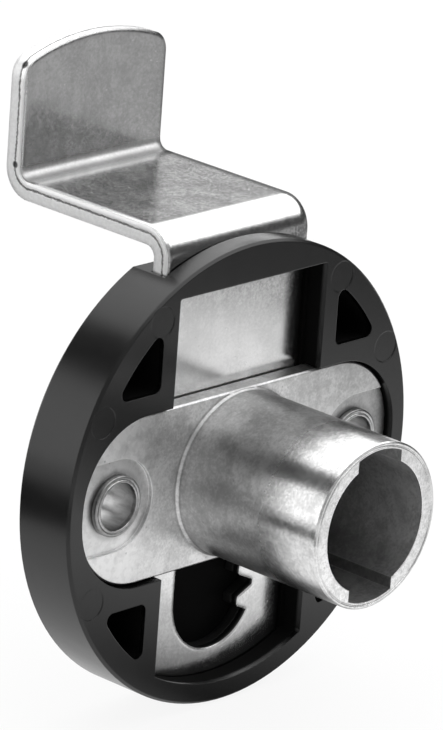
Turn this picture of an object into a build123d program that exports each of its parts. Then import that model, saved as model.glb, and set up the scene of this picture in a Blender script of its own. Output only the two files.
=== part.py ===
from build123d import *
import math
import os

# A cabinet deadbolt lock with a round case, a barrel for a removable key core and a cranked bolt.
# Sizes are in millimetres. X runs across the case, Y from the door into the cabinet, and Z the
# way the bolt is thrown. The origin is on the barrel's axis, in the plane of the fixing face.
# The bolt is drawn back.

# Case moulding
case_radius = 26.75
case_depth = 8.2
front_wall = 2.75
flat_depth = 2.65
front_bevel = 0.3
rear_bevel = 0.7
window_side = 0.65
window_rim = 2.35
window_head = 1.7
window_corner = 0.3
pocket_rib = 2.15
pocket_ledge_rib = 2.25
pocket_rim = 2.85
pocket_corner = 0.9
pocket_back_wall = 1.6
ejector_mark_radius = 1.8
ejector_mark_depth = 0.08
ejector_rim = 2.05
ejector_angles = (25, 55, 125, 155, 205, 335)

# Bolt, a folded sheet
bolt_width = 22.0
bolt_sheet = 2.15
bolt_rim = 2.15
crank_height = 2.75
crank_reach = 20.2
tab_height = 15.4
bend_radius = 1.3
crown_radius = 28.0
crown_corner = 2.6

# Rack and pinion
tooth_module = 1.2
tooth_count = 8
pressure_angle = 25.0
rack_addendum = 0.85
rack_dedendum = 1.45
rack_tip_fillet = 0.35
rack_root_fillet = 0.22
tooth_backlash = 0.12
pinion_addendum = 1.1
pinion_dedendum = 1.25
pinion_turn = 180.0
slot_side = 0.5
journal_radius = 3.5
journal_length = 2.0
thrust_rim = 0.75
boss_front = 2.0
drive_slot_width = 2.6
drive_slot_length = 10.0
drive_slot_depth = 3.0

# Cylinder housing, a casting
barrel_radius = 9.5
barrel_length = 20.1
barrel_chamfer = 0.15
end_line_inset = 0.45
end_line_width = 0.22
end_line_depth = 0.16
barrel_foot = 0.25
bore_radius = 7.55
keyway_width = 6.8
keyway_depth = 1.2
keyway_length = 14.0
flange_rim = 2.1
flange_half_height = 9.75
flange_corner = 9.2
flange_sunk = 0.6
flange_edge = 0.2
thrust_seat = 1.25

# Eyelets that rivet the housing to the case and take the fixing screws
eyelet_inset = 5.65
eyelet_bore = 2.7
eyelet_wall = 0.4
eyelet_lip = 0.4
eyelet_head_rim = 1.2
eyelet_head_depth = 0.5
eyelet_pocket_gap = 1.85
eyelet_pocket_depth = 0.5
counterbore_gap = 0.2
counterbore_depth = 1.3

# Drag spring
spring_width = 3.2
spring_length = 11.0
spring_strip = 0.3
spring_rise = 1.2
spring_height = 12.0

# Clearances
face_gap = 0.15
floor_gap = 0.1
side_gap = 0.2
end_gap = 0.4
running_gap = 0.06
thrust_gap = 0.05
seat_gap = 0.2
rivet_gap = 0.05

# Worked out from the sizes above
flat_height = case_radius - flat_depth
bolt_front = front_wall + face_gap
bolt_rear = bolt_front + bolt_sheet
bolt_foot_radius = case_radius - bolt_rim
bolt_shelf_top = flat_height + crank_height + bolt_sheet
bolt_reach = case_depth + crank_reach
bolt_top = bolt_shelf_top + tab_height
channel_floor = bolt_rear + floor_gap
pitch_radius = tooth_module * tooth_count / 2
tooth_pitch = math.pi * tooth_module
throw = pitch_radius * math.radians(pinion_turn)
rack_tip = pitch_radius - rack_addendum
rack_root = pitch_radius + rack_dedendum
tip_radius = pitch_radius + pinion_addendum
root_radius = pitch_radius - pinion_dedendum
slot_half_width = tip_radius + slot_side
window_half_width = bolt_width / 2 + window_side
window_top = flat_height - window_head
window_arc_radius = case_radius - window_rim
pocket_side = window_half_width + pocket_rib
pocket_ledge = flange_half_height + seat_gap + pocket_ledge_rib
pocket_arc_radius = case_radius - pocket_rim
ejector_ring_radius = case_radius - ejector_rim
flange_seat = front_wall - face_gap
flange_reach = case_radius - flange_rim - seat_gap
keyway_radius = bore_radius + keyway_depth
thrust_radius = bore_radius + thrust_rim
eyelet_offset = flange_reach - eyelet_inset
eyelet_outer = eyelet_bore + eyelet_wall
eyelet_hole = eyelet_outer + rivet_gap
eyelet_lip_outer = eyelet_bore + 2 * eyelet_lip
eyelet_pocket_radius = eyelet_lip_outer + eyelet_pocket_gap
eyelet_floor = flange_sunk + eyelet_pocket_depth
eyelet_head_radius = eyelet_outer + eyelet_head_rim
counterbore_radius = eyelet_head_radius + counterbore_gap
spring_offset = -(slot_half_width + bolt_width / 2) / 2
spring_floor = channel_floor + spring_rise


def slab(outline, y_from, y_to):
    # A prism with an outline drawn in X and Z, between two depths.
    placed = Plane.XZ.offset(-y_from) * outline
    return extrude(placed, amount=-(y_to - y_from))


def turned(radius, y_from, y_to, x=0):
    # A round bar along Y.
    return slab(Pos(x, 0) * Circle(radius), y_from, y_to)


def box_outline(x_from, x_to, z_from, z_to):
    middle = Pos((x_from + x_to) / 2, (z_from + z_to) / 2)
    return middle * Rectangle(x_to - x_from, z_to - z_from)


def flange_outline(gap=0.0):
    # A disc cut to the flange's height, with its four corners rounded.
    height = flange_half_height + gap
    reach = flange_reach + gap
    outline = Circle(reach) & Rectangle(2 * reach, 2 * height)
    corners = [v for v in outline.vertices() if abs(v.Y) > height / 2]
    return fillet(corners, flange_corner + gap)


def window_outline():
    # Straight at the top and sides, and round like the rim at the foot.
    half = window_half_width
    upper = box_outline(-half, half, 0, window_top)
    lower = box_outline(-half, half, -case_radius, 0) & Circle(window_arc_radius)
    outline = upper + lower
    corners = [v for v in outline.vertices() if abs(v.Y) > flange_half_height]
    corners = [v for v in corners if abs(v.X) > half / 2]
    return fillet(corners, window_corner)


def pocket_outline():
    # The triangular pocket of the upper right quarter.
    quarter = box_outline(pocket_side, case_radius, pocket_ledge, case_radius)
    outline = quarter & Circle(pocket_arc_radius)
    return fillet(outline.vertices(), pocket_corner)


def channel_outline(half, foot_radius):
    foot = box_outline(-half, half, -case_radius, 0) & Circle(foot_radius)
    return foot + box_outline(-half, half, 0, case_radius)


def build_case():
    body = turned(case_radius, 0, case_depth)
    above = box_outline(-case_radius, case_radius, flat_height, 2 * case_radius)
    body -= slab(above, front_wall, case_depth)
    rear = body.faces().sort_by(Axis.Y)[-1]
    body = chamfer(rear.edges(), rear_bevel)
    front = body.faces().sort_by(Axis.Y)[0]
    body = chamfer(front.edges(), front_bevel)

    channel = channel_outline(bolt_width / 2 + side_gap, bolt_foot_radius + end_gap)
    body -= slab(channel, front_wall, channel_floor)
    body -= slab(window_outline(), 0, front_wall)
    body -= slab(flange_outline(seat_gap), 0, flange_seat)

    pocket = slab(pocket_outline(), 0, case_depth - pocket_back_wall)
    for across in (pocket, mirror(pocket, Plane.YZ)):
        body -= across
        body -= mirror(across, Plane.XY)

    for angle in ejector_angles:
        mark = Rot(0, 0, angle) * Pos(ejector_ring_radius, 0) * Circle(ejector_mark_radius)
        body -= slab(mark, 0, ejector_mark_depth)

    journal_hole = journal_length + thrust_gap + floor_gap
    body -= turned(journal_radius + running_gap, channel_floor, channel_floor + journal_hole)
    for x in (-eyelet_offset, eyelet_offset):
        body -= turned(eyelet_hole, 0, case_depth, x)
        body -= turned(counterbore_radius, case_depth - counterbore_depth, case_depth, x)

    half_width = spring_width / 2 + side_gap
    half_length = spring_length / 2 + side_gap
    pocket = box_outline(
        spring_offset - half_width, spring_offset + half_width,
        spring_height - half_length, spring_height + half_length)
    body -= slab(pocket, channel_floor, spring_floor)
    return body


def bolt_side_profile():
    # The folded sheet seen from the side, drawn in Y and Z: up, back over the case, and up.
    tab_front = bolt_reach - bolt_sheet
    shelf_under = bolt_shelf_top - bolt_sheet
    points = [
        (bolt_front, -case_radius), (bolt_front, bolt_shelf_top),
        (tab_front, bolt_shelf_top), (tab_front, bolt_top),
        (bolt_reach, bolt_top), (bolt_reach, shelf_under),
        (bolt_rear, shelf_under), (bolt_rear, -case_radius)]
    profile = make_face(Polyline(*points, close=True))
    outer_bends = [(bolt_front, bolt_shelf_top), (bolt_reach, shelf_under)]
    inner_bends = [(tab_front, bolt_shelf_top), (bolt_rear, shelf_under)]
    for places, radius in ((outer_bends, bend_radius + bolt_sheet), (inner_bends, bend_radius)):
        for y, z in places:
            corner = profile.vertices().sort_by_distance((y, z, 0))[0]
            profile = fillet(corner, radius)
    return profile


def bolt_front_outline():
    # Round like the rim at the foot, with a crowned top.
    half = bolt_width / 2
    foot = box_outline(-half, half, -case_radius, 0) & Circle(bolt_foot_radius)
    crown = Pos(0, bolt_top - crown_radius) * Circle(crown_radius)
    top = box_outline(-half, half, 0, bolt_top) & crown
    outline = foot + top
    corners = [v for v in outline.vertices() if v.Y > bolt_shelf_top and abs(v.X) > half / 2]
    return fillet(corners, crown_corner)


def rack_outline():
    # The toothed strip that stands into the slot from its right side. A tooth lies half a pitch
    # above the axis, and the others follow it down over the whole throw.
    slope = math.tan(math.radians(pressure_angle))
    half_tip = tooth_pitch / 4 - rack_addendum * slope
    half_root = tooth_pitch / 4 + rack_dedendum * slope
    teeth = round(throw / tooth_pitch) + 2
    outside = slot_half_width + 1
    points = []
    for number in range(teeth):
        middle = tooth_pitch * (0.5 - number)
        points += [
            (rack_root, middle + half_root), (rack_tip, middle + half_tip),
            (rack_tip, middle - half_tip), (rack_root, middle - half_root)]
    points = [(outside, points[0][1])] + points + [(outside, points[-1][1])]
    outline = make_face(Polyline(*points, close=True))
    inner = outline.vertices().filter_by_position(
        Axis.Y, points[-2][1] + 0.01, points[1][1] - 0.01)
    tips = [v for v in inner if v.X < pitch_radius]
    outline = fillet(tips, rack_tip_fillet)
    inner = outline.vertices().filter_by_position(
        Axis.Y, points[-2][1] + 0.01, points[1][1] - 0.01)
    roots = [v for v in inner if abs(v.X - rack_root) < 0.01]
    return fillet(roots, rack_root_fillet)


def slot_outline():
    # The slot lets the pinion stand in it from one end of the throw to the other.
    outline = Circle(slot_half_width) + Pos(0, -throw) * Circle(slot_half_width)
    outline += box_outline(-slot_half_width, slot_half_width, -throw, 0)
    outline &= box_outline(-slot_half_width, rack_root, -2 * case_radius, case_radius)
    return outline - rack_outline()


def build_bolt():
    half = bolt_width / 2
    folded = extrude(Plane.YZ.offset(-half) * bolt_side_profile(), amount=bolt_width)
    body = folded & slab(bolt_front_outline(), 0, 2 * bolt_reach)
    body -= slab(slot_outline(), 0, channel_floor)
    return body


def involute(radius, base_radius):
    return math.tan(math.acos(base_radius / radius)) - math.acos(base_radius / radius)


def pinion_tooth():
    # One tooth that points along X. Each flank is an arc through three points of the involute.
    angle = math.radians(pressure_angle)
    base_radius = pitch_radius * math.cos(angle)
    thickness = tooth_pitch / 2 - tooth_backlash
    half_at_base = thickness / (2 * pitch_radius) + math.tan(angle) - angle
    flank = []
    for radius in (base_radius, pitch_radius, tip_radius):
        turn = half_at_base - involute(radius, base_radius)
        flank.append((radius * math.cos(turn), radius * math.sin(turn)))
    lower_flank = [(x, -z) for x, z in reversed(flank)]
    inner = root_radius * 0.9
    foot = (inner * math.cos(half_at_base), inner * math.sin(half_at_base))
    lower_foot = (foot[0], -foot[1])
    edges = [
        Line(foot, flank[0]), ThreePointArc(*flank),
        ThreePointArc(flank[-1], (tip_radius, 0), lower_flank[0]),
        ThreePointArc(*lower_flank), Line(lower_flank[-1], lower_foot), Line(lower_foot, foot)]
    return make_face(edges)


def build_pinion():
    wheel = Circle(root_radius)
    tooth = pinion_tooth()
    for number in range(tooth_count):
        wheel += Rot(0, 0, 360 * number / tooth_count) * tooth
    disc_rear = flange_seat + thrust_gap
    body = slab(wheel, disc_rear, bolt_rear)
    body += turned(thrust_radius, thrust_seat + thrust_gap, disc_rear)
    body += turned(bore_radius - running_gap, -boss_front, thrust_seat + thrust_gap)
    body += turned(journal_radius, bolt_rear, channel_floor + journal_length)
    slot = Rectangle(drive_slot_length, drive_slot_width)
    slot = fillet(slot.vertices(), drive_slot_width / 4)
    body -= slab(slot, -boss_front, -boss_front + drive_slot_depth)
    return body


def build_housing():
    body = slab(flange_outline(), flange_sunk, flange_seat)
    front = body.faces().sort_by(Axis.Y)[0]
    body = chamfer(front.edges(), flange_edge)
    barrel = turned(barrel_radius, -barrel_length, flange_seat)
    barrel = chamfer(barrel.edges().sort_by(Axis.Y)[0], barrel_chamfer)
    body += barrel

    foot = Polyline(
        (0, flange_sunk), (barrel_radius + barrel_foot, flange_sunk),
        (barrel_radius, flange_sunk - barrel_foot), (0, flange_sunk - barrel_foot), close=True)
    ring = revolve(make_face(foot), Axis.Y)
    body += ring & slab(flange_outline(), -barrel_length, flange_seat)

    bore = turned(bore_radius, -barrel_length, flange_seat)
    keyways = Rectangle(keyway_width, 2 * barrel_radius) & Circle(keyway_radius)
    bore += slab(keyways, -barrel_length, keyway_length - barrel_length)
    body -= bore
    body -= turned(thrust_radius + running_gap, thrust_seat, flange_seat)

    # A fine turned line near the edge of the barrel's end
    line_radius = barrel_radius - end_line_inset
    line = Polyline(
        (line_radius - end_line_width / 2, -barrel_length),
        (line_radius + end_line_width / 2, -barrel_length),
        (line_radius, end_line_depth - barrel_length), close=True)
    body -= revolve(make_face(line), Axis.Y)

    for side in (-1, 1):
        x = side * eyelet_offset
        body -= turned(eyelet_hole, 0, flange_seat, x)
        pocket = Pos(x, 0) * Circle(eyelet_pocket_radius)
        ends = sorted((x, side * case_radius))
        pocket += box_outline(ends[0], ends[1], -eyelet_pocket_radius, eyelet_pocket_radius)
        body -= slab(pocket, 0, eyelet_floor)
    return body


def build_eyelet(x):
    # A tubular rivet: a rolled lip in front of the flange, a tube and a flat head at the rear.
    head_seat = case_depth - counterbore_depth
    tube = Polyline(
        (eyelet_bore, eyelet_floor - eyelet_lip), (eyelet_outer, eyelet_floor - eyelet_lip),
        (eyelet_outer, head_seat), (eyelet_head_radius, head_seat),
        (eyelet_head_radius, head_seat + eyelet_head_depth),
        (eyelet_outer, head_seat + eyelet_head_depth),
        (eyelet_bore, head_seat + eyelet_head_depth - eyelet_wall), close=True)
    lip = RegularPolygon(eyelet_lip, side_count=8, major_radius=False, rotation=22.5)
    section = make_face(tube) + Pos(eyelet_bore + eyelet_lip, eyelet_floor - eyelet_lip) * lip
    return Pos(x, 0, 0) * revolve(section, Axis.Y)


def build_spring():
    # An arched strip in the case's floor. Its crown rubs on the bolt and its ends are seated.
    crown = bolt_rear + thrust_gap
    ends = spring_floor - spring_strip
    low = spring_height - spring_length / 2
    high = spring_height + spring_length / 2
    front = ThreePointArc((ends, low), (crown, spring_height), (ends, high))
    back = ThreePointArc(
        (ends + spring_strip, high), (crown + spring_strip, spring_height),
        (ends + spring_strip, low))
    edges = [front, Line(front @ 1, back @ 0), back, Line(back @ 1, front @ 0)]
    plane = Plane.YZ.offset(spring_offset - spring_width / 2)
    return extrude(plane * make_face(edges), amount=spring_width)


parts = {
    "case": build_case(),
    "cylinder_housing": build_housing(),
    "bolt": build_bolt(),
    "drive_pinion": build_pinion(),
    "left_eyelet": build_eyelet(-eyelet_offset),
    "right_eyelet": build_eyelet(eyelet_offset),
    "drag_spring": build_spring(),
}

os.makedirs("parts", exist_ok=True)
for name, shape in parts.items():
    export_step(shape, f"parts/{name}.step")
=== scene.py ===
import math

import bpy
from mathutils import Matrix, Vector


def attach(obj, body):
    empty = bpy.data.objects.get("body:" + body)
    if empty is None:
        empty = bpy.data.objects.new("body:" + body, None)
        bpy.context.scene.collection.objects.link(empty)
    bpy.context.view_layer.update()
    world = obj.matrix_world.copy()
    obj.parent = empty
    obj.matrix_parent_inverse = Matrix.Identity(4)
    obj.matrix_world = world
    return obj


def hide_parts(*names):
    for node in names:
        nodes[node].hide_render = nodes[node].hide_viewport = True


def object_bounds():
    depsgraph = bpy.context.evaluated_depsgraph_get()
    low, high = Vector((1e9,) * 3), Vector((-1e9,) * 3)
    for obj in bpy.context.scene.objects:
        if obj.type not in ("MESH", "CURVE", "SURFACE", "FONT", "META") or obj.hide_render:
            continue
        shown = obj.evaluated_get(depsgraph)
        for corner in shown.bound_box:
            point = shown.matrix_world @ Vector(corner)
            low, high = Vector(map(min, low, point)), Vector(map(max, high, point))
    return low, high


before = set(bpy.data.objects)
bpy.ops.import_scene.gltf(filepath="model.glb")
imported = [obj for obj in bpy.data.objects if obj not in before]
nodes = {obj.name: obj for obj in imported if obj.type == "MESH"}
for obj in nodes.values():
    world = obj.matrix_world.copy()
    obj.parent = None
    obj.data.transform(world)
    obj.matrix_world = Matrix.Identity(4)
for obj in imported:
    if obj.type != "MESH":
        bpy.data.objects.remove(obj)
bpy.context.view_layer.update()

# A cabinet deadbolt lock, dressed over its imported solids. Metres, barrel towards -Y, bolt up +Z.
mm = 0.001
eyeletPlace = 18.8  # millimetres from the barrel's axis to each eyelet's
print("frame loaded:", ", ".join(sorted(nodes)))


class Wire:
    # One value inside a node tree, so that shader maths reads as plain sums
    def __init__(self, owner, socket):
        self.owner = owner
        self.socket = socket

    def reckon(self, operation, *parts):
        settings = {"operation": operation}
        return self.owner.node("ShaderNodeMath", settings, dict(enumerate(parts)))

    def __add__(self, other):
        return self.reckon("ADD", self, other)

    def __radd__(self, other):
        return self.reckon("ADD", other, self)

    def __sub__(self, other):
        return self.reckon("SUBTRACT", self, other)

    def __rsub__(self, other):
        return self.reckon("SUBTRACT", other, self)

    def __mul__(self, other):
        return self.reckon("MULTIPLY", self, other)

    def __rmul__(self, other):
        return self.reckon("MULTIPLY", other, self)

    def __pow__(self, other):
        return self.reckon("POWER", self, other)

    def atLeast(self, other):
        return self.reckon("MAXIMUM", self, other)

    def above(self, limit):
        return self.reckon("GREATER_THAN", self, limit)

    def unsigned(self):
        return self.reckon("ABSOLUTE", self)

    def between(self, start, end):
        # 0 before start, 1 past end, smooth between them; start may be the larger one
        sockets = {"Value": self, "From Min": start, "From Max": end}
        return self.owner.node(
            "ShaderNodeMapRange", {"interpolation_type": "SMOOTHSTEP"}, sockets)

    def band(self, start, full, turn, end):
        # rises from start to full, falls from turn to end
        return self.between(start, full) * (1 - self.between(turn, end))


def distance(first, second):
    return (first * first + second * second) ** 0.5


def weighed(shares, *parts):
    # several values as one, each by its share
    total = shares[0] * parts[0]
    for share, part in zip(shares[1:], parts[1:]):
        total = total + share * part
    return total


def grey(value):
    return (value, value, value, 1)


class Nodes:
    # A shader tree that is built by name, of a material or of the room
    def __init__(self, tree):
        self.tree = tree

    def feed(self, socket, value):
        if isinstance(value, Wire):
            self.tree.links.new(value.socket, socket)
        else:
            socket.default_value = value

    def node(self, kind, settings=None, sockets=None, out=0):
        made = self.tree.nodes.new(kind)
        for label, value in (settings or {}).items():
            setattr(made, label, value)
        for label, value in (sockets or {}).items():
            self.feed(made.inputs[label], value)
        return Wire(self, made.outputs[out])

    def split(self, vector):
        # the three parts of a vector
        return [
            self.node("ShaderNodeSeparateXYZ", None, {"Vector": vector}, out=axis)
            for axis in "XYZ"]

    def mixShade(self, amount, first, second):
        # colours mix here, never in a Math node
        settings = {"data_type": "RGBA"}
        return self.node("ShaderNodeMix", settings, {0: amount, 6: first, 7: second}, out=2)

    def tint(self, colour, amount, shade):
        # moves a colour towards one grey
        return self.mixShade(amount, colour, grey(shade))


class Finish(Nodes):
    # A material. Plain values go straight on the shader's own sockets.
    def __init__(self, name, **plain):
        self.material = bpy.data.materials.new(name)
        self.material.use_nodes = True
        super().__init__(self.material.node_tree)
        self.shader = self.tree.nodes["Principled BSDF"]
        for label, value in plain.items():
            self.shader.inputs[label.replace("_", " ")].default_value = value

    def ends(self, **links):
        for label, value in links.items():
            self.feed(self.shader.inputs[label.replace("_", " ")], value)
        return self.material

    def blend(self, amount, other):
        # shows another shader where the amount is 1
        own = Wire(self, self.shader.outputs[0])
        mixed = self.node("ShaderNodeMixShader", None, {0: amount, 1: own, 2: other})
        self.feed(self.tree.nodes["Material Output"].inputs["Surface"], mixed)
        return self.material

    def spot(self):
        return self.node("ShaderNodeTexCoord", out="Object")

    def axes(self):
        # the piece's own x, y and z in millimetres
        return [part * (1 / mm) for part in self.split(self.spot())]

    def stretched(self, stretch):
        # for patterns that run one way
        return self.node("ShaderNodeMapping", None, {"Vector": self.spot(), "Scale": stretch})

    def noise(self, size, detail=3.0, rough=0.55, stretch=(1, 1, 1)):
        # size is the pattern's grain in millimetres
        sockets = {
            "Vector": self.stretched(stretch), "Scale": 1 / (size * mm),
            "Detail": detail, "Roughness": rough}
        return self.node("ShaderNodeTexNoise", None, sockets, out="Fac")

    def dots(self, size, reach, patches, share):
        # small round spots, gathered in patches; size and patches in millimetres
        sockets = {"Vector": self.spot(), "Scale": 1 / (size * mm)}
        away = self.node("ShaderNodeTexVoronoi", None, sockets, out="Distance")
        return away.between(*reach) * self.noise(patches).between(*share)

    def bump(self, height, depth, strength, below=None):
        # depth is in millimetres
        sockets = {"Height": height, "Distance": depth * mm, "Strength": strength}
        if below is not None:
            sockets["Normal"] = below
        return self.node("ShaderNodeBump", None, sockets)

    def softEdge(self, radius, samples=6):
        return self.node("ShaderNodeBevel", {"samples": samples}, {"Radius": radius * mm})

    def edgeWear(self, radius, turned=(0.02, 0.25)):
        # 1 on sharp edges, 0 on flats: how far the rounded normal leaves the true one
        true = self.node("ShaderNodeNewGeometry", out="Normal")
        sockets = {0: self.softEdge(radius), 1: true}
        facing = self.node(
            "ShaderNodeVectorMath", {"operation": "DOT_PRODUCT"}, sockets, out="Value")
        return (1 - facing).between(*turned)


# Each finish has its greys, the grain of its patterns in millimetres, the values at which a
# pattern starts and is full, tones that say how far a grey is taken up, and its zones, which
# start and are full at places in millimetres. A relief is a depth in millimetres and a strength.
mouldedNylon = {
    # greys
    "dark": 0.0012, "light": 0.0034, "worn": 0.03,
    # patterns
    "cloud": 9.0, "flow": 2.4, "scuff": 0.9, "dust": 1.3, "dustPatch": 3.0, "grain": 0.22,
    "clouded": (0.3, 0.75), "scuffedAndShaded": (0.40, 0.7), "dusty": (0.055, 0.03), "dusted": (0.5, 0.62),
    "wearTone": 0.5, "dustTone": 0.5,
    # roughness, edges and relief
    "smooth": 0.17, "dull": 0.27, "grainDull": 0.05, "edgeRadius": 0.14, "wearRadius": 0.22,
    "flowRelief": (0.006, 0.5), "grainRelief": (0.003, 0.6),
    # hollows, painted darker as shade: in front, behind, at the rim and at the flat
    "hollowFrom": (0.3, 0.9), "hollowTo": (8.1, 7.9), "rim": (26.5, 26.2), "flat": (24.0, 23.8),
    "hollowDull": 0.8, "hollowShine": 0.12,
}


def makeNylon(size=mouldedNylon):
    finish = Finish("blackNylon", IOR=1.5)
    cloud = finish.noise(size["cloud"], detail=4)
    grain = finish.noise(size["grain"], detail=2)
    flow = finish.noise(size["flow"], detail=4, stretch=(1, 0.4, 1))
    scuffsAndShade = finish.noise(size["scuff"]).between(*size["scuffedAndShaded"])
    wear = finish.edgeWear(size["wearRadius"]) * scuffsAndShade
    dust = finish.dots(size["dust"], size["dusty"], size["dustPatch"], size["dusted"])
    clouded = cloud.between(*size["clouded"])
    colour = finish.mixShade(clouded, grey(size["dark"]), grey(size["light"]))
    worn = wear * size["wearTone"] + dust * size["dustTone"]
    colour = finish.tint(colour, worn, size["worn"])
    rough = size["smooth"] + (size["dull"] - size["smooth"]) * flow + size["grainDull"] * grain
    normal = finish.softEdge(size["edgeRadius"])
    normal = finish.bump(flow, *size["flowRelief"], normal)
    normal = finish.bump(grain, *size["grainRelief"], normal)
    finish.ends(Base_Color=colour, Roughness=rough, Normal=normal)

    # the hollows behind the face get a dull, dark shader with little shine: painted shade
    x, y, z = finish.axes()
    inside = y.between(*size["hollowFrom"]) * y.between(*size["hollowTo"])
    inside = inside * distance(x, z).between(*size["rim"]) * z.between(*size["flat"])
    hollowShade = finish.node("ShaderNodeBsdfPrincipled", None, {
        "Base Color": grey(size["dark"]), "Roughness": size["hollowDull"],
        "Specular IOR Level": size["hollowShine"]})
    return finish.blend(inside, hollowShade)


castZinc = {
    # greys
    "dark": 0.62, "light": 0.86, "bright": 0.88, "stain": 0.38, "recessShade": 0.05,
    "leftPaintedLight": 0.97, "footShade": 0.1, "boreShade": 0.02,
    # patterns
    "cloud": 6.5, "patch": 2.6, "mottle": 1.5, "grain": 0.6, "streak": 0.5, "fine": 0.30,
    "toneShares": (0.26, 0.32, 0.25, 0.17), "toned": (0.40, 0.60),
    "stained": (0.52, 0.70), "stainTone": 0.3,
    "pit": 1.1, "pitPatch": 2.4, "pitted": (0.16, 0.06), "pitShare": (0.50, 0.60), "pitTone": 0.5,
    "speckle": 0.8, "speckled": (0.50, 0.62), "speckleTone": 0.14, "wearTone": 0.5,
    # roughness, edges and relief
    "dull": 0.40, "smooth": 0.22, "toneDull": 0.10, "boreDull": 0.58,
    "edgeRadius": 0.16, "wearRadius": 0.25, "mottleRelief": (0.010, 0.6),
    "streakRelief": (0.002, 0.4), "grainRelief": (0.004, 0.6), "fineRelief": (0.0015, 0.6),
    # zones, with painted light and shade on most of them: both ends of the flange, the barrel and
    # its turned front, the bore
    "leftFrom": (-12.0, -18.0), "leftLightTone": 0.80, "rightFrom": (2.0, 18.0), "rightShadeTone": 0.24,
    "flangeFrom": (0.2, 0.5), "barrel": (9.9, 9.6), "barrelEnd": (0.5, 0.2), "barrelShadeTone": 0.25,
    "turnedFrom": (-7.0, -14.5), "bore": (8.9, 8.8), "mouth": (-20.05, -19.9),
    "boreLow": (-2.0, -7.0), "boreShadeTone": 0.6,
    # zones of painted shade: the eyelets' pockets, the rings round their lips, the barrel's foot
    "pocket": (5.45, 5.25), "pocketDepth": (0.65, 0.85), "pocketFade": (-5.0, 2.0),
    "pocketLow": 0.5, "pocketShadeTone": 0.26, "lipShadowRing": (4.4, 3.7), "lipShadowTone": 0.30,
    "footTop": (1.0, 0.6), "footFrom": (-0.1, 0.3), "footInner": (9.2, 9.4),
    "footOuter": (10.2, 9.9), "footShadeTone": 0.22,
}


def castingZones(finish, size):
    # how much of each zone of the casting a point lies in, 0 to 1
    x, y, z = finish.axes()
    radius = distance(x, z)
    inward = eyeletPlace - x.unsigned()
    deep = y.between(*size["pocketDepth"])
    floor = distance(inward.atLeast(0), z).between(*size["pocket"]) * deep
    fade = z.between(*size["pocketFade"])
    lip = distance(inward, z)
    foot = y.between(*size["footTop"]) * y.between(*size["footFrom"])
    return {
        "left": x.between(*size["leftFrom"]), "right": x.between(*size["rightFrom"]),
        "flange": y.between(*size["flangeFrom"]), "turned": y.between(*size["turnedFrom"]),
        "barrel": radius.between(*size["barrel"]) * y.between(*size["barrelEnd"]),
        "bore": radius.between(*size["bore"]) * y.between(*size["mouth"]),
        "low": z.between(*size["boreLow"]),
        "pocket": floor * (size["pocketLow"] + (1 - size["pocketLow"]) * fade),
        "lipShadow": lip.between(*size["lipShadowRing"]) * deep,
        "foot": foot * radius.between(*size["footInner"]) * radius.between(*size["footOuter"]),
    }


def makeCasting(name="platedCasting", size=castZinc):
    finish = Finish(name, Metallic=1.0)
    zone = castingZones(finish, size)
    mottle = finish.noise(size["mottle"], detail=4, rough=0.6)
    streak = finish.noise(size["streak"], detail=2, stretch=(1, 0.25, 1))
    fine = finish.noise(size["fine"], detail=1)
    cloud = finish.noise(size["cloud"], detail=2, rough=0.5)
    grain = finish.noise(size["grain"], detail=3, rough=0.6)
    stain = finish.noise(size["patch"], detail=3, rough=0.5).between(*size["stained"])
    pits = finish.dots(size["pit"], size["pitted"], size["pitPatch"], size["pitShare"])
    speckle = finish.noise(size["speckle"], detail=1).between(*size["speckled"])
    wear = finish.edgeWear(size["wearRadius"])
    tone = weighed(size["toneShares"], mottle, cloud, grain, fine)
    toned = tone.between(*size["toned"])
    colour = finish.mixShade(toned, grey(size["dark"]), grey(size["light"]))
    # painted light: the flange's left end is made paler
    colour = finish.tint(colour, zone["left"] * size["leftLightTone"], size["leftPaintedLight"])
    spots = stain * size["stainTone"] + pits * size["pitTone"] + speckle * size["speckleTone"]
    colour = finish.tint(colour, spots, size["stain"])

    # the barrel behind its turned front is darkened as painted shade; the front is turned smooth
    colour = finish.tint(colour, zone["barrel"] * (1 - zone["turned"]) * size["barrelShadeTone"], 0)
    # painted shade: the lower part of the bore is darkened
    colour = finish.tint(colour, zone["bore"] * zone["low"] * size["boreShadeTone"], size["boreShade"])
    # painted shade: the flange is darkened towards the right
    colour = finish.tint(colour, zone["right"] * size["rightShadeTone"], 0)
    # painted shade: the eyelets' pockets are darkened, more towards the top
    colour = finish.tint(colour, zone["pocket"] * size["pocketShadeTone"], size["recessShade"])
    # painted shade: a ring round each eyelet's lip is darkened
    colour = finish.tint(colour, zone["lipShadow"] * size["lipShadowTone"], size["recessShade"])
    # painted shade: the crease at the barrel's foot is darkened
    colour = finish.tint(colour, zone["foot"] * size["footShadeTone"], size["footShade"])
    colour = finish.tint(colour, wear * size["wearTone"] * (1 - zone["foot"]), size["bright"])
    rough = size["dull"] - (size["dull"] - size["smooth"]) * zone["turned"]
    rough = rough + size["toneDull"] * (tone - 0.5)
    rough = rough + (size["boreDull"] - rough) * zone["bore"]
    normal = finish.softEdge(size["edgeRadius"])
    normal = finish.bump(mottle * (1 + zone["flange"]), *size["mottleRelief"], normal)
    normal = finish.bump(streak, *size["streakRelief"], normal)
    normal = finish.bump(grain, *size["grainRelief"], normal)
    normal = finish.bump(fine, *size["fineRelief"], normal)
    return finish.ends(Base_Color=colour, Roughness=rough, Normal=normal)


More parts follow.
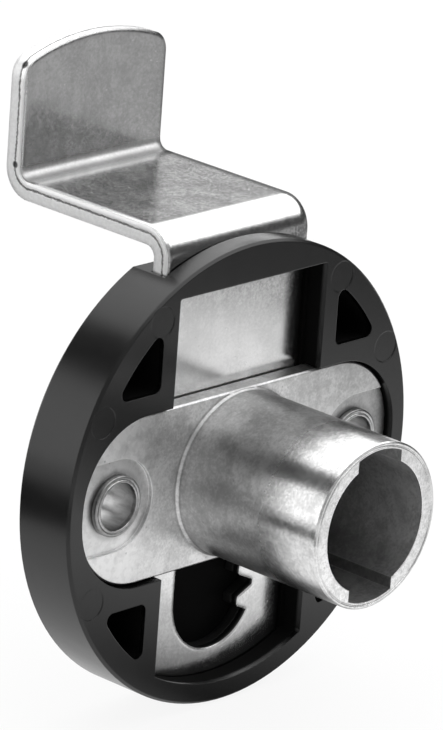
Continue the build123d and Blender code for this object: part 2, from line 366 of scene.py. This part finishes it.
pressedSteel = {
    # the folded sheet as it is built, which the finish follows
    "sheet": 2.15, "half": 11.0, "plateFront": 2.9, "tabFront": 26.25, "shelfTop": 29.0,
    "outerBend": 3.45, "innerBend": 1.3, "crownTop": 44.39, "crownRadius": 28.0,
    # greys
    "dark": 0.66, "light": 0.86, "bright": 0.92,
    # patterns
    "cloud": 4.0, "rolled": 0.7, "fine": 0.30, "toneShares": (0.50, 0.12, 0.38),
    "toned": (0.34, 0.66), "speck": 1.3, "speckPatch": 2.5, "specked": (0.10, 0.04),
    "speckShare": (0.48, 0.56), "speckTone": 0.5, "wearTone": 0.5,
    # roughness, edges and relief
    "smooth": 0.17, "dull": 0.24, "glossShares": (0.15, 0.20, 0.65), "glossed": (0.35, 0.68),
    "edgeRadius": 0.70, "wearRadius": 0.22, "cloudRelief": (0.005, 0.4),
    "rolledRelief": (0.0010, 0.3), "fineRelief": (0.0010, 0.6), "speckRelief": (0.02, 0.6),
    # painted shade under the crank's first bend and on the shelf beside its second bend, and the
    # inside of that bend
    "shadeBandTop": (26.9, 25.7), "shadeBandFoot": (21.2, 24.2), "shadeBandShares": (0.5, 0.5),
    "scuffedAndShaded": (0.40, 0.56), "shadeBandGrey": 0.28, "shadeBandTone": 0.8,
    "bendSide": (1.6, 0.8), "bendTop": (1.6, 1.0), "bendDull": 0.40,
    "bendFootTop": (0.70, 0.05), "bendFootSide": (3.0, 1.8), "bendFootShade": 0.05,
    "bendShadowTone": 0.76,
    # sheared edges: the crack as a share of the sheet, the torn part, the slot darkened as painted
    # shade, two chips
    "burnish": 0.96, "torn": 0.94, "cutDull": 0.42, "tornDull": 0.14, "unevenness": 0.16,
    "fracture": 0.38, "fractureWide": 0.10, "crackShade": 0.05, "crackTone": 0.85,
    "tear": 0.35, "tearShare": (0.3, 0.7), "tearShade": 0.75, "tearTone": 0.35,
    "tearRelief": (0.04, 0.7), "slotSide": (9.8, 9.5), "slotTop": (20.0, 15.0), "slotShade": 0.10,
    "chips": ((26.95, 41.9), (27.05, 30.5)), "chipRadius": 0.50, "chipShade": 0.03,
    "chipTone": 0.9,
    # how both faces roll over towards the edges
    "rollWide": 0.9, "rollRelief": (0.16, 1.0), "crownFrom": 6.0,
}


def sheetDepth(y, z, size):
    # how deep a point lies under the sheet's front, 0 to 1, followed round both bends
    across = (size["plateFront"] + size["outerBend"] - y).atLeast(0)
    along = (z - (size["shelfTop"] - size["outerBend"])).atLeast(0)
    first = size["outerBend"] - distance(across, along)
    across = (y - (size["tabFront"] - size["innerBend"])).atLeast(0)
    along = (size["shelfTop"] + size["innerBend"] - z).atLeast(0)
    second = distance(across, along) - size["innerBend"]
    far = y.above((size["plateFront"] + size["tabFront"]) / 2)
    return (first + (second - first) * far) * (1 / size["sheet"])


def sheetEdge(finish, z, size):
    # 1 on the sheared edges of the sheet and in its slot, 0 on its two faces
    true = finish.node("ShaderNodeNewGeometry", out="True Normal")
    side, front = [part.unsigned() for part in finish.split(true)[:2]]
    bends = z.above(size["shelfTop"] - size["outerBend"])
    bends = bends * (1 - z.above(size["shelfTop"] + size["innerBend"]))
    return side.atLeast((1 - front) * (1 - bends)).above(0.5)


def rolledOver(x, z, size):
    # both faces fall away towards the sheared edges: 0 inside, 1 at the edge
    side = x.unsigned() - (size["half"] - size["rollWide"])
    centre = size["crownTop"] - size["crownRadius"]
    crown = distance(x, z - centre) - (size["crownRadius"] - size["rollWide"])
    crown = crown * z.above(size["shelfTop"] + size["crownFrom"])
    return (side.atLeast(crown) * (1 / size["rollWide"])).atLeast(0)


def makeSheet(size=pressedSteel):
    finish = Finish("platedSteel", Metallic=1.0)
    x, y, z = finish.axes()
    cloud = finish.noise(size["cloud"], detail=4, rough=0.6)
    rolled = finish.noise(size["rolled"], detail=2, stretch=(1, 0.2, 0.2))
    fine = finish.noise(size["fine"], detail=2)
    tear = finish.noise(size["tear"], detail=3)
    specks = finish.dots(size["speck"], size["specked"], size["speckPatch"], size["speckShare"])
    wear = finish.edgeWear(size["wearRadius"])
    toned = weighed(size["toneShares"], cloud, rolled, fine).between(*size["toned"])
    body = finish.mixShade(toned, grey(size["dark"]), grey(size["light"]))
    body = finish.tint(body, wear * size["wearTone"] + specks * size["speckTone"], size["bright"])

    # painted shade darkens a mottled band under the crank's first bend; it is dull inside its
    # second bend
    scuffsAndShade = z.between(*size["shadeBandTop"]) * z.between(*size["shadeBandFoot"])
    scuffsAndShade = scuffsAndShade * weighed(size["shadeBandShares"], cloud, fine).between(*size["scuffedAndShaded"])
    body = finish.tint(body, scuffsAndShade * size["shadeBandTone"], size["shadeBandGrey"])
    infront = size["tabFront"] - y
    overShelf = z - size["shelfTop"]
    inBend = infront.between(*size["bendSide"]) * overShelf.between(*size["bendTop"])
    bendShadow = infront.between(*size["bendFootSide"]) * overShelf.between(*size["bendFootTop"])
    # painted shade: the shelf beside the second bend is darkened
    body = finish.tint(body, bendShadow * size["bendShadowTone"], size["bendFootShade"])

    # a sheared edge is burnished in front, cracks on the way and is torn behind
    edge = sheetEdge(finish, z, size)
    depth = sheetDepth(y, z, size)
    depth = depth + (fine - 0.5) * size["unevenness"] + (cloud - 0.5) * size["unevenness"]
    middle = size["fracture"]
    low = middle - size["fractureWide"]
    high = middle + size["fractureWide"]
    crack = depth.between(low, middle) * depth.between(high, middle)
    torn = depth.between(middle, high)
    cut = finish.mixShade(torn, grey(size["burnish"]), grey(size["torn"]))
    tears = tear.between(*size["tearShare"]) * torn
    cut = finish.tint(cut, tears * size["tearTone"], size["tearShade"])
    cut = finish.tint(cut, crack * size["crackTone"], size["crackShade"])
    # painted shade: the walls of the slot are darkened
    slot = x.unsigned().between(*size["slotSide"]) * z.between(*size["slotTop"])
    cut = finish.tint(cut, slot, size["slotShade"])
    for chipY, chipZ in size["chips"]:
        away = distance(y - chipY, z - chipZ)
        chip = away.between(size["chipRadius"], size["chipRadius"] / 2)
        cut = finish.tint(cut, chip * size["chipTone"], size["chipShade"])
    colour = finish.mixShade(edge, body, cut)

    gloss = weighed(size["glossShares"], cloud, rolled, fine).between(*size["glossed"])
    plain = size["smooth"] + (size["dull"] - size["smooth"]) * gloss
    plain = plain + (size["bendDull"] - plain) * inBend
    rough = plain + (size["cutDull"] + size["tornDull"] * torn - plain) * edge
    fall = rolledOver(x, z, size)
    normal = finish.softEdge(size["edgeRadius"])
    normal = finish.bump(fall * fall * -1, *size["rollRelief"], normal)
    normal = finish.bump(cloud, *size["cloudRelief"], normal)
    normal = finish.bump(rolled, *size["rolledRelief"], normal)
    normal = finish.bump(fine, *size["fineRelief"], normal)
    normal = finish.bump(specks * (1 - edge), *size["speckRelief"], normal)
    normal = finish.bump((tear * torn - crack) * edge, *size["tearRelief"], normal)
    return finish.ends(Base_Color=colour, Roughness=rough, Normal=normal)


drawnMetal = {
    "dark": 0.40, "light": 0.55, "stain": 0.30, "drawn": 0.5, "toned": (0.35, 0.65),
    "spot": 0.9, "spotted": (0.52, 0.7), "spotTone": 0.3,
    "smooth": 0.26, "moreDull": 0.16, "relief": (0.008, 0.5),
    "lipSide": (3.15, 3.42), "lipFrom": (2.0, 1.5), "sideShade": 0.05, "lipShadeTone": 0.40,
}


def makeEyeletMetal(size=drawnMetal):
    finish = Finish("eyeletMetal", Metallic=1.0)
    x, y, z = finish.axes()
    drawn = finish.noise(size["drawn"], detail=3, stretch=(1, 0.3, 1))
    spots = finish.noise(size["spot"], detail=3).between(*size["spotted"])
    toned = drawn.between(*size["toned"])
    colour = finish.mixShade(toned, grey(size["dark"]), grey(size["light"]))
    colour = finish.tint(colour, spots * size["spotTone"], size["stain"])
    # painted shade: the outer side of each lip is darkened
    lip = distance(x.unsigned() - eyeletPlace, z).between(*size["lipSide"])
    lip = lip * y.between(*size["lipFrom"])
    colour = finish.tint(colour, lip * size["lipShadeTone"], size["sideShade"])
    rough = size["smooth"] + size["moreDull"] * drawn
    normal = finish.bump(drawn, *size["relief"])
    return finish.ends(Base_Color=colour, Roughness=rough, Normal=normal)


springSteel = {
    "dark": 0.25, "light": 0.45, "brushed": 0.3, "smooth": 0.28, "moreDull": 0.2,
    "relief": (0.002, 1.0),
}


def makeSpring(size=springSteel):
    finish = Finish("springSteel", Metallic=1.0)
    brushed = finish.noise(size["brushed"], detail=3, stretch=(1, 0.1, 0.1))
    colour = finish.mixShade(brushed, grey(size["dark"]), grey(size["light"]))
    rough = size["smooth"] + size["moreDull"] * brushed
    normal = finish.bump(brushed, *size["relief"])
    return finish.ends(Base_Color=colour, Roughness=rough, Normal=normal)


def dress(name, material):
    mesh = nodes[name].data
    mesh.materials.clear()
    mesh.materials.append(material)


finishes = {
    "case": makeNylon(),
    "cylinder_housing": makeCasting(),
    "bolt": makeSheet(),
    "drive_pinion": makeCasting("plainCasting", dict(castZinc, dark=0.25, light=0.5)),
    "drag_spring": makeSpring(),
}
for name, material in finishes.items():
    dress(name, material)
print("finishes made:", len(finishes))


class Plan:
    # A Geometry Nodes tree that is built by name
    def __init__(self, name):
        self.tree = bpy.data.node_groups.new(name, "GeometryNodeTree")
        self.tree.interface.new_socket(
            "Geometry", in_out="OUTPUT", socket_type="NodeSocketGeometry")
        self.inlet = self.tree.nodes.new("NodeGroupInput")
        self.outlet = self.tree.nodes.new("NodeGroupOutput")

    def given(self, label, value):
        # a named input
        kind = "NodeSocketInt" if isinstance(value, int) else "NodeSocketFloat"
        made = self.tree.interface.new_socket(label, in_out="INPUT", socket_type=kind)
        made.default_value = value
        return self.inlet.outputs[label]

    def step(self, kind, settings=None, sockets=None, out=0):
        made = self.tree.nodes.new(kind)
        for label, value in (settings or {}).items():
            setattr(made, label, value)
        for label, value in (sockets or {}).items():
            for part in value if isinstance(value, list) else [value]:
                if isinstance(part, bpy.types.NodeSocket):
                    self.tree.links.new(part, made.inputs[label])
                else:
                    made.inputs[label].default_value = part
        return made.outputs[out]

    def reckon(self, operation, first, second):
        return self.step("ShaderNodeMath", {"operation": operation}, {0: first, 1: second})

    def grow(self, name, geometry, material, body):
        # the finished mesh, with the modifier gone
        sockets = {"Geometry": geometry, "Material": material}
        end = self.step("GeometryNodeSetMaterial", None, sockets)
        self.tree.links.new(end, self.outlet.inputs["Geometry"])
        seed = bpy.data.objects.new(name + "Seed", bpy.data.meshes.new(name + "Seed"))
        bpy.context.scene.collection.objects.link(seed)
        modifier = seed.modifiers.new("plan", "NODES")
        modifier.node_group = self.tree
        for item in self.tree.interface.items_tree:
            if item.in_out == "INPUT":
                modifier[item.identifier] = item.default_value
        bpy.context.view_layer.update()
        seen = seed.evaluated_get(bpy.context.evaluated_depsgraph_get())
        mesh = bpy.data.meshes.new_from_object(seen)
        bpy.data.objects.remove(seed)
        made = bpy.data.objects.new(name, mesh)
        bpy.context.scene.collection.objects.link(made)
        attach(made, body)
        return made


# Each eyelet is a drawn tube with a flare and a lip in front and a flat head behind
eyeletSizes = {
    "bore": 2.7, "wall": 0.32, "place": eyeletPlace, "front": 0.3, "floor": 1.1, "rear": 7.4,
    "flare": 0.36, "lipInner": 3.02, "lipOuter": 3.50, "lipSunk": 0.09, "roll": 0.22,
    "headRadius": 4.3, "headThick": 0.45, "turns": 72, "cornerSteps": 5,
    "tubeCorner": 0.4, "flareCorner": 0.48, "headCorner": 0.45,
}


def makeEyelets(material, size=eyeletSizes):
    plan = Plan("eyeletPlan")
    bore = plan.given("Bore", size["bore"] * mm)
    wall = plan.given("Wall", size["wall"] * mm)
    front = plan.given("Front", size["front"] * mm)
    floor = plan.given("Pocket floor", size["floor"] * mm)
    rear = plan.given("Rear", size["rear"] * mm)
    flare = plan.given("Flare width", size["flare"] * mm)
    lipInner = plan.given("Lip inner radius", size["lipInner"] * mm)
    lipOuter = plan.given("Lip outer radius", size["lipOuter"] * mm)
    lipSunk = plan.given("Lip behind the flare", size["lipSunk"] * mm)
    roll = plan.given("Roll", size["roll"] * mm)
    head = plan.given("Head radius", size["headRadius"] * mm)
    thick = plan.given("Head thickness", size["headThick"] * mm)
    turns = plan.given("Turns", size["turns"])
    place = plan.given("Place", size["place"] * mm)

    def add(first, second):
        return plan.reckon("ADD", first, second)

    def take(first, second):
        return plan.reckon("SUBTRACT", first, second)

    def times(first, second):
        return plan.reckon("MULTIPLY", first, second)

    def ring(inner, outer, nearEnd, farEnd, corner):
        # a ring about Y with rounded corners, between two radii and two depths
        flat = plan.step(
            "GeometryNodeCurvePrimitiveQuadrilateral", None,
            {"Width": take(outer, inner), "Height": take(farEnd, nearEnd)})
        section = plan.step(
            "GeometryNodeFilletCurve", {"mode": "POLY"},
            {"Curve": flat, "Radius": corner, "Count": size["cornerSteps"]})
        path = plan.step(
            "GeometryNodeCurvePrimitiveCircle", None,
            {"Resolution": turns, "Radius": times(add(inner, outer), 0.5)}, "Curve")
        mesh = plan.step(
            "GeometryNodeCurveToMesh", None, {"Curve": path, "Profile Curve": section})
        lift = plan.step("ShaderNodeCombineXYZ", None, {"Y": times(add(nearEnd, farEnd), 0.5)})
        return plan.step(
            "GeometryNodeTransform", None,
            {"Geometry": mesh, "Rotation": (math.pi / 2, 0, 0), "Translation": lift})

    tube = ring(bore, add(bore, wall), front, rear, times(wall, size["tubeCorner"]))
    inner = ring(bore, add(bore, flare), front, floor, times(flare, size["flareCorner"]))
    outer = ring(lipInner, lipOuter, add(front, lipSunk), floor, roll)
    rearHead = ring(bore, head, take(rear, thick), rear, times(thick, size["headCorner"]))
    rings = [tube, inner, outer, rearHead]
    one = plan.step("GeometryNodeJoinGeometry", None, {"Geometry": rings})
    start = plan.step("ShaderNodeCombineXYZ", None, {"X": times(place, -1.0)})
    stride = plan.step("ShaderNodeCombineXYZ", None, {"X": times(place, 2.0)})
    spots = plan.step(
        "GeometryNodeMeshLine", None, {"Count": 2, "Start Location": start, "Offset": stride})
    both = plan.step("GeometryNodeInstanceOnPoints", None, {"Points": spots, "Instance": one})
    real = plan.step("GeometryNodeRealizeInstances", None, {"Geometry": both})
    smooth = plan.step("GeometryNodeSetShadeSmooth", None, {"Geometry": real})
    made = plan.grow("rolledEyelets", smooth, material, "lock_body")
    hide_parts("left_eyelet", "right_eyelet")
    return made


makeEyelets(makeEyeletMetal())
print("eyelets rolled")


# The sheet lies a little under the lock and is some metres across. Its bands are in millimetres
# from the lock: start, full, turn and end. A way is a direction on the floor, x and y.
paleSheet = {
    "drop": 0.3, "across": 6.0, "show": 0.90, "grey": 0.9, "dull": 0.9,
    "backWay": (-0.74, 0.67), "leftWay": (-0.70, -0.71),
    "back": (72.0, 88.0, 185.0, 215.0), "backLevel": 0.05,
    "front": (136.0, 144.0), "frontLevel": 0.06, "frontFar": (152.0, 162.0), "farLevel": 0.37,
    "left": (76.0, 88.0, 112.0, 135.0), "leftLevel": 0.12,
    "near": (-14.0, -8.0, -6.0, 40.0), "nearFront": (60.0, -8.0), "nearRight": (-12.0, 0.0),
    "nearLevel": 0.08, "lit": (30.0, 42.0, 60.0, 90.0), "litMore": 0.20,
}


def makeFloor(size=paleSheet):
    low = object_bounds()[0][2] - size["drop"] * mm
    half = size["across"] / 2
    mesh = bpy.data.meshes.new("floor")
    corners = [(-half, -half, low), (half, -half, low), (half, half, low), (-half, half, low)]
    mesh.from_pydata(corners, [], [(0, 1, 2, 3)])
    floor = bpy.data.objects.new("floor", mesh)
    bpy.context.scene.collection.objects.link(floor)
    finish = Finish("paleFloor", Base_Color=grey(size["grey"]), Roughness=size["dull"])
    eye = finish.node("ShaderNodeLightPath", out="Is Camera Ray")
    shine = finish.node("ShaderNodeLightPath", out="Is Glossy Ray")
    through = finish.node("ShaderNodeLightPath", out="Is Transmission Ray")

    # metal mirrors a bright sheet with dark bands behind, in front, on the left and close by
    x, y = finish.axes()[:2]
    back = weighed(size["backWay"], x, y)
    ahead = back * -1
    left = weighed(size["leftWay"], x, y)
    dark = (1 - size["backLevel"]) * back.band(*size["back"])
    dark = dark + (1 - size["frontLevel"]) * ahead.between(*size["front"])
    dark = dark - (size["farLevel"] - size["frontLevel"]) * ahead.between(*size["frontFar"])
    dark = dark.atLeast((1 - size["leftLevel"]) * left.band(*size["left"]))
    # the band close by is a painted shadow of the lock, seen only in reflections
    near = ahead.band(*size["near"]) * y.between(*size["nearFront"])
    near = near * x.between(*size["nearRight"])
    dark = dark.atLeast((1 - size["nearLevel"]) * near)
    lit = size["litMore"] * ahead.band(*size["lit"])
    level = 1 - shine * (dark - lit)
    shown = finish.node("ShaderNodeEmission", None, {"Color": grey(1), "Strength": level})
    mesh.materials.append(finish.blend((eye + through) * size["show"] + shine, shown))


room = {
    "low": 0.22, "high": 0.50, "rise": (0.2, 0.9),
    "gap": 0.11, "gapWay": (-0.75, 0.66), "gapFrom": (0.25, 0.6),
    "front": 0.06, "frontWay": (0.71, -0.70), "frontFrom": (0.3, 0.6), "frontTop": (0.44, 0.34),
    "left": 0.45, "leftWay": (-0.70, -0.71), "leftFrom": (0.3, 0.7),
}


def makeRoom(size=room):
    # a dim room, darkest at the back on the left and low in front; the camera sees it white
    world = bpy.data.worlds.new("room")
    bpy.context.scene.world = world
    world.use_nodes = True
    walls = Nodes(world.node_tree)
    x, y, z = walls.split(walls.node("ShaderNodeTexCoord", out="Generated"))
    shade = walls.mixShade(z.between(*size["rise"]), grey(size["low"]), grey(size["high"]))
    gap = weighed(size["gapWay"], x, y).between(*size["gapFrom"])
    shade = walls.tint(shade, gap, size["gap"])
    front = weighed(size["frontWay"], x, y).between(*size["frontFrom"])
    shade = walls.tint(shade, front * z.between(*size["frontTop"]), size["front"])
    left = weighed(size["leftWay"], x, y).between(*size["leftFrom"])
    shade = walls.tint(shade, left, size["left"])
    seen = walls.node("ShaderNodeLightPath", out="Is Camera Ray")
    ground = walls.tree.nodes["Background"]
    walls.feed(ground.inputs["Color"], walls.tint(shade, seen, 1))


# Soft lamps in metres: a large box overhead, a card low behind on the left, and a small card in
# front on the right for the bolt's outer bend. Glow is how bright a lamp's face looks.
lamps = {
    "ceilingBox": {
        "place": (0.70, 0.425, 1.0), "aim": (0.70, 0.426, 0),
        "wide": 2.2, "tall": 2.55, "glow": 1.65},
    "bendCard": {
        "place": (1.2, -1.0, 1.0), "aim": (0, 0, 0),
        "wide": 0.6, "tall": 0.35, "glow": 1.65},
    "backCard": {
        "place": (-0.67, 0.61, 0.245), "aim": (0, 0, 0.1),
        "wide": 0.9, "tall": 0.53, "glow": 1.45},
}


def makeLamp(name, place, aim, wide, tall, glow):
    lamp = bpy.data.lights.new(name, "AREA")
    lamp.shape = "RECTANGLE"
    lamp.size = wide
    lamp.size_y = tall
    lamp.energy = glow * math.pi * wide * tall
    made = bpy.data.objects.new(name, lamp)
    made.location = place
    way = Vector(aim) - Vector(place)
    made.rotation_euler = way.to_track_quat("-Z", "Y").to_euler()
    made.visible_camera = False
    bpy.context.scene.collection.objects.link(made)


# Place and aim in millimetres, roll in degrees, focal length in pixels of a frame so tall
lens = {
    "place": (-451.5, -412.8, 219.8), "aim": (0.7, 4.8, 11.15),
    "roll": 4.15, "pixels": 5893.0, "tall": 730, "sensor": 36.0, "near": 0.01, "far": 20,
}


def makeCamera(size=lens):
    data = bpy.data.cameras.new("camera")
    camera = bpy.data.objects.new("camera", data)
    bpy.context.scene.collection.objects.link(camera)
    place = Vector(size["place"]) * mm
    way = Vector(size["aim"]) * mm - place
    turn = way.to_track_quat("-Z", "Y").to_matrix().to_4x4()
    roll = Matrix.Rotation(math.radians(size["roll"]), 4, "Z")
    camera.matrix_world = Matrix.Translation(place) @ turn @ roll
    data.sensor_width = size["sensor"]
    data.lens = size["pixels"] / size["tall"] * size["sensor"]
    data.clip_start = size["near"]
    data.clip_end = size["far"]
    bpy.context.scene.camera = camera


makeFloor()
makeRoom()
for name, lamp in lamps.items():
    makeLamp(name, **lamp)
makeCamera()
bpy.context.scene.view_settings.view_transform = "Standard"
print("floor, room, lamps and camera made")
